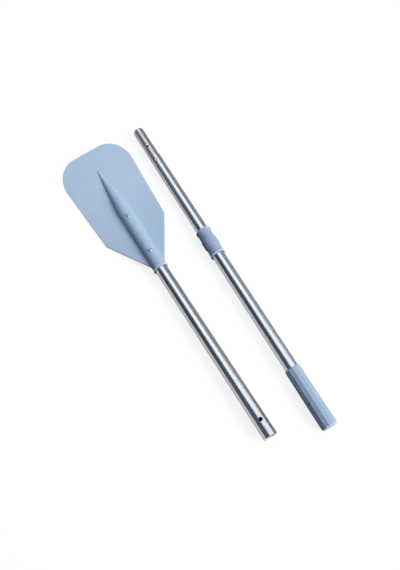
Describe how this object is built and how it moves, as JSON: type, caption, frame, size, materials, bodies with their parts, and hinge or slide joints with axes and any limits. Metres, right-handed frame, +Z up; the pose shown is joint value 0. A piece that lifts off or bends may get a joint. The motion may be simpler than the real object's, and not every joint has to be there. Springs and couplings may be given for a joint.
{
  "type": "take-apart oar",
  "caption": "Take-apart oar lying apart: ribbed flat blade on an aluminium tube, beside a tube with a snap-button spigot, sliding collar and faceted grip.",
  "frame": {"origin": "middle of the floor area that the pair of halves covers, on the floor", "axes": "+Y along the blade half's tube, towards the blade's tip; +X towards the handle half; +Z up from the floor"},
  "size_m": [0.1944, 0.6678, 0.0293],
  "materials": {
    "moulding": "moulded, satin",
    "tube": "drawn and anodised",
    "sleeve": "drawn, mill finish",
    "rivet": "set dome head",
    "steel": "plated",
    "spring": "blued strip",
    "bung": "moulded"
  },
  "bodies": {
    "blade_half": {"blade": "moulding", "lower_tube": "tube", "socket_rivet_mouth": "rivet", "socket_rivet_tip": "rivet", "rivet_mandrel_mouth": "steel", "rivet_mandrel_tip": "steel", "lower_water_stop": "bung"},
    "handle_half": {"upper_tube": "tube", "spigot_sleeve": "sleeve", "button_spring": "spring", "grip": "moulding", "grip_roll_pin": "steel", "upper_water_stop": "bung"},
    "button": {"snap_button": "steel"},
    "collar": {"stop_collar": "moulding"}
  },
  "joints": [
    {"name": "handle_lift", "type": "slide", "parent": "blade_half", "child": "handle_half", "axis": [0, 0, 1], "range_m": [0, 0.1]},
    {"name": "button_press", "type": "slide", "parent": "handle_half", "child": "button", "axis": [0.3419, -0.0113, -0.9397], "range_m": [0, 0.0042], "stiffness_N_per_m": 2500, "springref_m": -0.0012, "deforming": ["button_spring"]},
    {"name": "collar_slide", "type": "slide", "parent": "handle_half", "child": "collar", "axis": [0.048, 0.9988, 0.0054], "range_m": [-0.2319, 0.222]}
  ]
}
